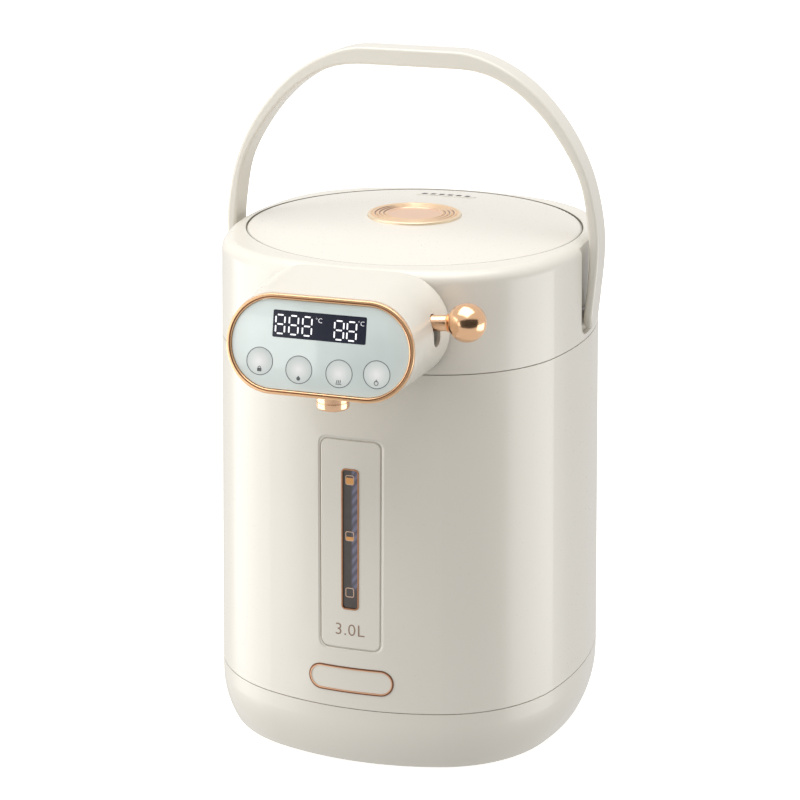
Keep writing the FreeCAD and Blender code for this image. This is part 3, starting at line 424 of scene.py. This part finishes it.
# Each maker, its colours and its settings, by the name of the finish. The first eighteen are
# the record's material slots; the rest dress single pieces.
RECIPES = {
    "cream_plastic": (moulded_plastic, CREAM, CREAM_CLOUD, 0.24, 0.5),
    "pale_plastic": (moulded_plastic, rgb(240, 236, 228), rgb(233, 228, 218), 0.28, 0.3),
    "rubber": (soft_rubber, rgb(30, 30, 31), rgb(52, 52, 53)),
    "silicone": (soft_rubber, rgb(214, 214, 208), rgb(236, 236, 231), 0.42),
    "steel": (brushed_steel, rgb(196, 197, 200)),
    "stainless": (brushed_steel, rgb(205, 205, 203), 0.26),
    "motor_steel": (brushed_steel, rgb(178, 179, 182), 0.36),
    "clear_glass": (clear_sheet, rgb(205, 222, 232), 0.03, 0.4),
    "smoked_window": (level_window,),
    "display_glass": (clear_sheet, rgb(210, 220, 218), 0.08, 0.97),
    "black_plastic": (moulded_plastic, rgb(38, 38, 40), rgb(24, 24, 26), 0.42, 0.1),
    "red_plastic": (moulded_plastic, rgb(190, 48, 40), rgb(150, 34, 30), 0.4, 0.1),
    "inner_plastic": (moulded_plastic, rgb(224, 223, 217), rgb(210, 208, 200), 0.42, 0.0),
    "circuit_board": (circuit_board,),
    "cast_aluminium": (brushed_steel, rgb(186, 188, 190), 0.45, (6.0, 6.0, 6.0)),
    "felt": (felt,),
    "rose_gold": (plated_metal, rgb(246, 206, 170), rgb(234, 182, 142), 0.16),
    "brass": (plated_metal, rgb(222, 190, 116), rgb(188, 150, 80), 0.28),
    "touch_glow": (glow_painted_print,),
    "display_navy": (moulded_plastic, rgb(36, 40, 58), rgb(28, 31, 46), 0.12, 0.6),
    "display_lit": (lit_print,),
    "print_grey": (moulded_plastic, rgb(102, 108, 108), rgb(84, 90, 91), 0.35, 0.1),
    "print_bronze": (moulded_plastic, rgb(158, 130, 110), rgb(140, 112, 92), 0.4, 0.0),
    "print_gold": (moulded_plastic, rgb(240, 178, 108), rgb(222, 154, 84), 0.35, 0.1),
    "print_pale": (moulded_plastic, rgb(226, 194, 170), rgb(206, 168, 146), 0.35, 0.1),
    "satin_gold": (plated_metal, rgb(250, 206, 164), rgb(240, 184, 140), 0.17, 0.92),
    "trim_gold": (trim_metal,),
    "medallion_metal": (medallion_metal,),
    "badge_metal": (badge_metal,),
    "edge_gold": (plated_metal, rgb(196, 142, 106), rgb(162, 108, 76), 0.3),
    "grooved_shell": (grooved_shell, CREAM, CREAM_CLOUD),
    # Painted shade for the gap round the lid.
    "seam_rubber": (soft_rubber, rgb(112, 106, 95), rgb(130, 123, 111)),
    # The collar's second colour is painted shade for its handle pockets.
    "pocketed_shell": (pocketed_shell, CREAM, rgb(170, 160, 138)),
}
FINISHES = {name: maker(name, *terms) for name, (maker, *terms) in RECIPES.items()}

# CAD nodes whose finish is more than their slot's.
OWN_FINISH = {"badge_ring": "badge_metal", "window_bezel": "edge_gold",
              "body_shell": "grooved_shell", "collar": "pocketed_shell"}


def dress(obj, finish):
    obj.data.materials.clear()
    obj.data.materials.append(FINISHES[finish].material)


for part in frame["record"]["subparts"]:
    dress(nodes[part["node"]], OWN_FINISH.get(part["node"], part["material_slot"]))


def let_go():
    if bpy.context.object and bpy.context.object.mode != "OBJECT":
        bpy.ops.object.mode_set(mode="OBJECT")
    bpy.ops.object.select_all(action="DESELECT")


def hold(obj):
    let_go()
    obj.select_set(True)
    bpy.context.view_layer.objects.active = obj
    return obj


def edit(obj, part="VERT"):
    hold(obj)
    bpy.ops.object.mode_set(mode="EDIT")
    bpy.ops.mesh.select_mode(type=part)
    bpy.ops.mesh.select_all(action="SELECT")
    return obj


def apply_modifier(obj, kind, **settings):
    hold(obj)
    modifier = obj.modifiers.new(kind.lower(), kind)
    for key, value in settings.items():
        setattr(modifier, key, value)
    bpy.ops.object.modifier_apply(modifier=modifier.name)
    return obj


def soften(obj, width, segments):
    return apply_modifier(obj, "BEVEL", width=width * MM, segments=segments,
                          limit_method="ANGLE", angle_limit=math.radians(40.0))


def set_down(obj, *moves):
    """Applies a place to the mesh, the moves read from left to right as one product."""
    place = Matrix.Identity(4)
    for move in moves:
        place = place @ move
    obj.matrix_world = place
    hold(obj)
    bpy.ops.object.transform_apply(location=True, rotation=True, scale=True)
    return obj


def raise_faces(thick):
    """Gives the flat faces being edited their thickness, with the normals outwards."""
    bpy.ops.mesh.select_all(action="SELECT")
    bpy.ops.mesh.extrude_region_move(TRANSFORM_OT_translate={"value": (0.0, 0.0, thick * MM)})
    bpy.ops.mesh.select_all(action="SELECT")
    bpy.ops.mesh.normals_make_consistent(inside=False)
    bpy.ops.object.mode_set(mode="OBJECT")


# The flat pieces below are modelled on the XY plane, with sizes and places in millimetres.


def outline(width, height, radius, corner):
    """A flat face with rounded corners, left in edit mode."""
    let_go()
    bpy.ops.mesh.primitive_plane_add(size=1.0, location=(0, 0, 0))
    obj = edit(bpy.context.object)
    bpy.ops.transform.resize(value=(width * MM, height * MM, 1.0))
    bpy.ops.mesh.bevel(offset=radius * MM, segments=corner, affect="VERTICES",
                       clamp_overlap=True)
    bpy.ops.mesh.remove_doubles(threshold=0.00001)
    return obj


def plate(width, height, radius, thick, corner):
    obj = outline(width, height, radius, corner)
    raise_faces(thick)
    return obj


def band(width, height, radius, broad, thick, corner):
    """A flat frame: the outline inset by its breadth and the middle taken out."""
    obj = outline(width, height, radius, corner)
    bpy.ops.mesh.select_mode(type="FACE")
    bpy.ops.mesh.inset(thickness=broad * MM, depth=0.0)
    bpy.ops.mesh.delete(type="FACE")
    bpy.ops.mesh.select_mode(type="VERT")
    raise_faces(thick)
    return obj


def shift(obj, x, y, z=0.0, turn=0.0):
    """Moves a flat piece about its own plane before it is set on the object."""
    return set_down(obj, Matrix.Translation((x * MM, y * MM, z * MM)),
                    Matrix.Rotation(math.radians(turn), 4, "Z"))


def stroke(length, wide, x, y, turn=0.0):
    return shift(plate(length, wide, wide * 0.45, THIN_PRINT, 3), x, y, 0.0, turn)


def hoop(size, wide, x, y):
    return shift(band(size, size, size * 0.499, wide, THIN_PRINT, 10), x, y)


def letters(words, height, x, y, thinner, apart=1.0):
    """Flat raised figures of a capital height, centred across at x."""
    let_go()
    bpy.ops.object.text_add(location=(0, 0, 0))
    font = bpy.context.object.data
    font.body = words
    font.align_x = "CENTER"
    font.size = height * MM / 0.7
    font.extrude = 0.5 * PRINT * MM
    font.offset = thinner * MM
    font.space_character = apart
    font.resolution_u = 6
    bpy.ops.object.convert(target="MESH")
    return shift(bpy.context.object, x, y, 0.5 * PRINT)


def copy_of(obj):
    twin = obj.copy()
    twin.data = obj.data.copy()
    bpy.context.scene.collection.objects.link(twin)
    return twin


def join(objs):
    hold(objs[0])
    for obj in objs[1:]:
        obj.select_set(True)
    bpy.ops.object.join()
    return bpy.context.object


def on_face(obj, out):
    """Stands a flat piece on the tap head's tilted face, out proud of the housing's edge."""
    place = Vector((0.0, FACE_Y, FACE_Z)) + FACE_TURN @ Vector((0.0, 0.0, out * MM))
    return set_down(obj, Matrix.Translation(place), FACE_TURN.to_4x4())


def on_front(obj, out):
    """Stands a flat piece up, bends it to the body's round front and leans it with the wall."""
    set_down(obj, Matrix.Rotation(math.pi / 2, 4, "X"))
    apply_modifier(obj, "SIMPLE_DEFORM", deform_method="BEND", deform_axis="Z",
                   angle=obj.dimensions.x / FRONT_R)
    return set_down(obj, Matrix.Translation((0.0, FRONT_Y - out * MM, SEAM_Z)),
                    Matrix.Rotation(-math.atan(TAPER), 4, "X"),
                    Matrix.Translation((0.0, 0.0, -SEAM_Z)))


def settle(obj, name, finish, body="pot", stands_for=None, angle=35.0):
    """Names a finished piece, gives it its finish and sets it on its body."""
    hold(obj)
    bpy.ops.object.shade_smooth_by_angle(angle=math.radians(angle))
    obj.name = name
    obj.data.name = name
    dress(obj, finish)
    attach(obj, body)
    if stands_for:
        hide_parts(stands_for)
    let_go()


def spun(profile, steps):
    """A turned piece: a corner drawn out along (radius, height) points, then spun about Z."""
    let_go()
    bpy.ops.mesh.primitive_plane_add(size=1.0 * MM, location=(0, 0, 0))
    obj = edit(bpy.context.object)
    bpy.ops.mesh.merge(type="CENTER")
    at_r, at_z = profile[0]
    bpy.ops.transform.translate(value=(at_r * MM, 0.0, at_z * MM))
    for r, z in profile[1:]:
        step = ((r - at_r) * MM, 0.0, (z - at_z) * MM)
        bpy.ops.mesh.extrude_region_move(TRANSFORM_OT_translate={"value": step})
        at_r, at_z = r, z
    bpy.ops.mesh.select_all(action="SELECT")
    bpy.ops.mesh.spin(steps=steps, angle=2.0 * math.pi, center=(0, 0, 0), axis=(0, 0, 1))
    bpy.ops.mesh.select_all(action="SELECT")
    bpy.ops.mesh.remove_doubles(threshold=0.000005)
    bpy.ops.mesh.normals_make_consistent(inside=False)
    bpy.ops.object.mode_set(mode="OBJECT")
    return obj


def arc(centre_r, centre_z, radius, start, end, count):
    """Profile points on an arc, angles in degrees from the outward direction."""
    points = []
    for i in range(count + 1):
        a = math.radians(start + (end - start) * i / count)
        points.append((centre_r + radius * math.cos(a), centre_z + radius * math.sin(a)))
    return points


def make_seam_shade():
    """Dark ring of painted shade that fills the gap round the lid, just under the rim."""
    low, high = 267.6, 268.57
    near, far = 88.85, 89.27
    seam_shade_ring = spun([(near, low), (near, high), (far, high), (far, low), (near, low)], 160)
    set_down(seam_shade_ring, Matrix.Translation((0.0, LID_Y, 0.0)))
    settle(seam_shade_ring, "lid_seam_shade", "seam_rubber")


def make_vent_shade():
    """Dark plate of painted shade seen through the slots of the steam grille."""
    shade = soften(plate(29.0, 5.6, 1.0, 0.3, 4), 0.08, 2)
    set_down(shade, Matrix.Translation((-2.0 * MM, 65.0 * MM, 271.2 * MM)),
             Matrix.Rotation(math.radians(-5.4), 4, "X"))
    # Its black finish is painted shade for the depth of the slots.
    settle(shade, "vent_shade", "black_plastic", "lid")


def make_trim():
    ring = band(BEAD_ACROSS, BEAD_UP, BEAD_CORNER, BEAD_BROAD, BEAD_THICK, 24)
    settle(on_face(soften(ring, 0.55, 4), 0.05), "trim_bead", "trim_gold",
           stands_for="trim_ring")
    pane = plate(90.6, 43.6, 21.5, 1.5, 24)
    settle(on_face(soften(pane, 0.35, 3), -0.5), "front_pane", "display_glass",
           stands_for="display_glass")


def make_display():
    """The dark window with three figures and two, each group with its degree mark."""
    window = shift(soften(plate(47.6, 13.2, 0.7, 0.08, 5), 0.02, 1), -0.67, 10.05)
    settle(on_face(window, 1.0), "display_window", "display_navy")
    bars = []
    for x, y in ((-20.7, 9.8), (-13.8, 9.8), (-6.9, 9.8), (9.4, 9.3), (15.8, 9.3)):
        bars += digit(x, y)
    settle(on_face(join(bars), 1.08), "display_digits", "display_lit")
    units = [letters("\u00b0C", 2.3, -1.0, 12.0, -0.05),
             letters("\u00b0C", 2.2, 20.4, 12.3, -0.055)]
    settle(on_face(join(units), 1.08), "display_units", "display_lit")


def digit(x, y):
    """The seven lit bars of one figure."""
    level = plate(3.05, 0.74, 0.3, PRINT, 2)
    upright = plate(0.74, 3.15, 0.3, PRINT, 2)
    bars = [shift(copy_of(level), x, y + dy) for dy in (-4.5, 0.0, 4.5)]
    for dx, dy in ((-2.3, -2.25), (2.3, -2.25), (-2.3, 2.25), (2.3, 2.25)):
        bars.append(shift(copy_of(upright), x + dx, y + dy))
    bpy.data.objects.remove(level)
    bpy.data.objects.remove(upright)
    return bars


def make_touch_keys():
    """Four milky keys with their rings, each with a generic sign near its lower edge."""
    signs = ((lock_mark, -30.25, -8.9), (drop_mark, -9.95, -11.4),
             (heat_mark, 10.6, -11.5), (power_mark, 29.6, -10.2))
    pads = []
    rings = []
    marks = []
    for sign, x, y in signs:
        pads.append(shift(touch_pad(), x, y))
        rings.append(shift(band(13.7, 13.7, 6.84, 0.32, PRINT, 16), x, y))
        marks += sign(x, y)
    settle(on_face(join(pads), 1.0), "touch_pads", "touch_glow")
    settle(on_face(join(rings), 1.02), "touch_rings", "print_grey")
    settle(on_face(join(marks), 1.06), "touch_marks", "print_grey")


def touch_pad():
    """A shallow lens of milky print, its painted glow attribute strongest in the middle."""
    radius = 6.5 * MM
    let_go()
    bpy.ops.mesh.primitive_circle_add(vertices=48, radius=radius, fill_type="NGON")
    obj = edit(bpy.context.object, "FACE")
    for _ in range(7):
        bpy.ops.mesh.inset(thickness=radius / 8.2, depth=0.006 * MM)
    bpy.ops.object.mode_set(mode="OBJECT")
    obj.data.attributes.new("glow", "FLOAT", "POINT")
    glow = [max(0.0, 1.0 - corner.co.xy.length / radius) ** 1.3 for corner in obj.data.vertices]
    obj.data.attributes["glow"].data.foreach_set("value", glow)
    return obj


def lock_mark(x, y):
    body = shift(plate(2.2, 1.6, 0.25, THIN_PRINT, 3), x, y - 4.2)
    return [body, hoop(1.6, 0.3, x, y - 3.2)]


def drop_mark(x, y):
    """A water drop: a square with three corners rounded off, stood with the sharp one up."""
    let_go()
    bpy.ops.mesh.primitive_plane_add(size=1.9 * MM, location=(0, 0, 0))
    obj = edit(bpy.context.object)
    bpy.ops.mesh.select_all(action="DESELECT")
    bpy.ops.object.mode_set(mode="OBJECT")
    for corner in obj.data.vertices:
        corner.select = corner.co.x < 0.0 or corner.co.y < 0.0
    bpy.ops.object.mode_set(mode="EDIT")
    bpy.ops.mesh.bevel(offset=0.93 * MM, segments=8, affect="VERTICES")
    bpy.ops.mesh.remove_doubles(threshold=0.00001)
    raise_faces(THIN_PRINT)
    return [shift(obj, x, y - 4.3, 0.0, 45.0)]


def heat_mark(x, y):
    waves = [stroke(1.7, 0.34, x + dx, y - 3.8, 78.0) for dx in (-0.9, 0.0, 0.9)]
    return waves + [stroke(3.0, 0.34, x, y - 5.0)]


def power_mark(x, y):
    return [hoop(2.3, 0.32, x, y - 4.1), stroke(1.3, 0.36, x, y - 3.0, 90.0)]


def make_level_marks():
    """Three outlined squares on the pane, filled from the bottom to show the level."""
    across = -0.35
    tall = 5.2
    edges = []
    fills = []
    for z, filled in ((159.3, 0.72), (129.3, 0.42), (98.8, 0.0)):
        edges.append(shift(band(4.7, tall, 1.1, 0.45, PRINT, 5), across, z))
        if filled:
            fill = plate(4.0, tall * filled, 0.5, THIN_PRINT, 4)
            fills.append(shift(fill, across, z - 2.5 + tall * filled / 2))
    settle(on_front(join(edges), -0.47), "level_squares", "print_pale")
    settle(on_front(join(fills), -0.46), "level_fills", "print_gold")


def make_capacity():
    words = letters("3.0L", 6.4, -0.3, 75.4, -0.09, 1.07)
    settle(on_front(words, 0.01), "capacity_print", "print_bronze")


def make_medallion():
    """Turned disc with a raised lip, stepped rings and a plain middle."""
    top = 274.4
    r = 24.8
    low = top - 1.6
    stem, stem_z = 5.0, 266.4
    profile = [(0.0, stem_z), (stem, stem_z), (stem, low), (r, low), (r, top + 0.2)]
    profile += arc(r - 0.7, top + 0.2, 0.7, 10, 90, 5)
    at = r - 1.6
    for _ in range(4):
        profile += [(at, top + 0.85), (at - 0.25, top + 0.45),
                    (at - 0.8, top + 0.2), (at - 1.1, top + 0.75)]
        at -= 2.3
    profile += [(at, top + 0.8), (at - 0.5, top + 0.35), (0.0, top + 0.4)]
    disc = set_down(spun(profile, 128), Matrix.Translation((0.0, LID_Y, 0.0)))
    settle(disc, "medallion", "medallion_metal", "lid", "lid_medallion", 20.0)


def make_nozzle():
    """Turned tip with a fine groove round it and a stepped bore."""
    z, head, stem_top = 204.9, 219.0, 232.0
    r, stem, bore = 8.25, 5.0, 3.2
    profile = [(bore, stem_top), (stem, stem_top), (stem, head), (r, head),
               (r, z + 4.4), (r - 0.25, z + 4.2), (r - 0.25, z + 3.9), (r, z + 3.7)]
    profile += arc(r - 1.3, z + 1.3, 1.3, 0, -90, 6)
    profile += [(5.4, z), (stem, z + 0.5), (stem, z + 3.0), (bore, z + 4.0), (bore, stem_top)]
    tip = set_down(spun(profile, 72), Matrix.Translation((0.0, NOZZLE_Y, 0.0)))
    settle(tip, "nozzle_tip", "rose_gold", "pot", "nozzle", 25.0)


def make_knob():
    """The lever's ball with the small neck where it meets the stem."""
    r, neck = 9.6, 4.1
    middle = 46.7
    root = middle - 8.72
    profile = [(4.0, root + 2.5), (4.0, root - 1.2), (4.45, root - 1.0), (4.6, root - 0.4),
               (neck, root)]
    from_neck = -math.degrees(math.acos(neck / r))
    profile += arc(0.0, middle, r, from_neck, 90.0, 28)[1:-1] + [(0.0, middle + r)]
    ball = set_down(spun(profile, 72), Matrix.Translation(LEVER),
                    Matrix.Rotation(math.pi / 2 - LEVER_UP, 4, "Y"))
    settle(ball, "knob", "satin_gold", "tap_lever", "lever_ball", 30.0)


make_seam_shade()
make_vent_shade()
make_trim()
make_display()
make_touch_keys()
make_level_marks()
make_capacity()
make_medallion()
make_nozzle()
make_knob()


def toward(azimuth, away, height):
    """A place round the object, its azimuth measured as the camera's is."""
    a = math.radians(azimuth)
    return Vector((away * math.sin(a), -away * math.cos(a), height))


def studio_world():
    """White behind the object, and a softer light from all round."""
    world = bpy.data.worlds.new("studio")
    bpy.context.scene.world = world
    world.use_nodes = True
    tree = world.node_tree
    background = tree.nodes["Background"]
    background.inputs["Color"].default_value = (1.0, 0.99, 0.975, 1.0)
    path = tree.nodes.new("ShaderNodeLightPath")
    level = None
    for ray, brightness in (("Is Glossy Ray", 0.74), ("Is Camera Ray", 1.02)):
        step = tree.nodes.new("ShaderNodeMix")
        step.inputs["A"].default_value = 0.43
        step.inputs["B"].default_value = brightness
        tree.links.new(path.outputs[ray], step.inputs["Factor"])
        if level:
            tree.links.new(level, step.inputs["A"])
        level = step.outputs["Result"]
    tree.links.new(level, background.inputs["Strength"])


def studio_floor():
    """Pale floor, seen by the camera only, so that the low strips light the object."""
    let_go()
    bpy.ops.mesh.primitive_plane_add(size=14.0, location=(0, 0, 0))
    floor = bpy.context.object
    floor.name = "studio_floor"
    f = Finish("studio_floor", Specular_IOR_Level=0.1, Roughness=0.7, Emission_Strength=0.62,
               Emission_Color=(1.0, 0.995, 0.985, 1.0))
    f.surface(Base_Color=f.blend(rgb(250, 250, 248), rgb(255, 255, 255), f.noise(3.0)))
    floor.data.materials.append(f.material)
    hide_from(floor, "diffuse", "glossy", "shadow")


def dark_card():
    """A dark board round the camera, seen only in the shine of the metal."""
    let_go()
    bpy.ops.mesh.primitive_plane_add(size=1.0, location=(0, 0, 0))
    card = bpy.context.object
    card.name = "dark_card"
    place = toward(30.0, 0.95, 0.34)
    turn = (-place).to_track_quat("-Z", "Y").to_matrix().to_4x4()
    set_down(card, Matrix.Translation(place), turn, Matrix.Diagonal((2.3, 0.85, 1.0, 1.0)))
    f = Finish("dark_card", Specular_IOR_Level=0.0, Roughness=1.0)
    f.surface(Base_Color=f.blend(rgb(12, 10, 9), rgb(24, 20, 18), f.noise(2.0)))
    card.data.materials.append(f.material)
    hide_from(card, "camera", "diffuse", "shadow", "transmission")


def hide_from(obj, *rays):
    for ray in rays:
        setattr(obj, "visible_" + ray, False)


def soft_light(name, azimuth, away, height, size, power):
    """A softbox aimed at the object."""
    lamp = bpy.data.lights.new(name, "AREA")
    lamp.shape = "RECTANGLE"
    lamp.size, lamp.size_y = size
    lamp.energy = power
    lamp.color = (1.0, 0.99, 0.975)
    lit = bpy.data.objects.new(name, lamp)
    lit.location = toward(azimuth, away, height)
    aim = Vector((0, 0, 0.17)) - lit.location
    lit.rotation_euler = aim.to_track_quat("-Z", "Y").to_euler()
    bpy.context.scene.collection.objects.link(lit)


def stage():
    scene = bpy.context.scene
    scene.view_settings.view_transform = "Standard"
    studio_world()
    studio_floor()
    dark_card()
    soft_light("key_left", -62.0, 2.2, 0.5, (1.4, 1.4), 11.0)
    soft_light("strip_left", -72.0, 2.0, -0.42, (2.6, 0.9), 16.0)
    soft_light("strip_right", 104.0, 2.0, -0.42, (2.0, 0.9), 12.5)
    soft_light("front_card", -20.0, 2.4, 0.42, (1.3, 0.7), 3.0)
    soft_light("top", -20.0, 0.3, 2.2, (2.4, 2.2), 43.0)

    camera = bpy.data.objects.new("camera", bpy.data.cameras.new("camera"))
    camera.data.lens = CAMERA_LENS
    camera.data.sensor_width = 36.0
    camera.data.clip_start = 0.05
    camera.location = CAMERA_PLACE
    e = math.radians(CAMERA_ELEVATION)
    back = toward(CAMERA_AZIMUTH, math.cos(e), math.sin(e))
    camera.rotation_euler = (-back).to_track_quat("-Z", "Y").to_euler()
    scene.collection.objects.link(camera)
    scene.camera = camera


stage()
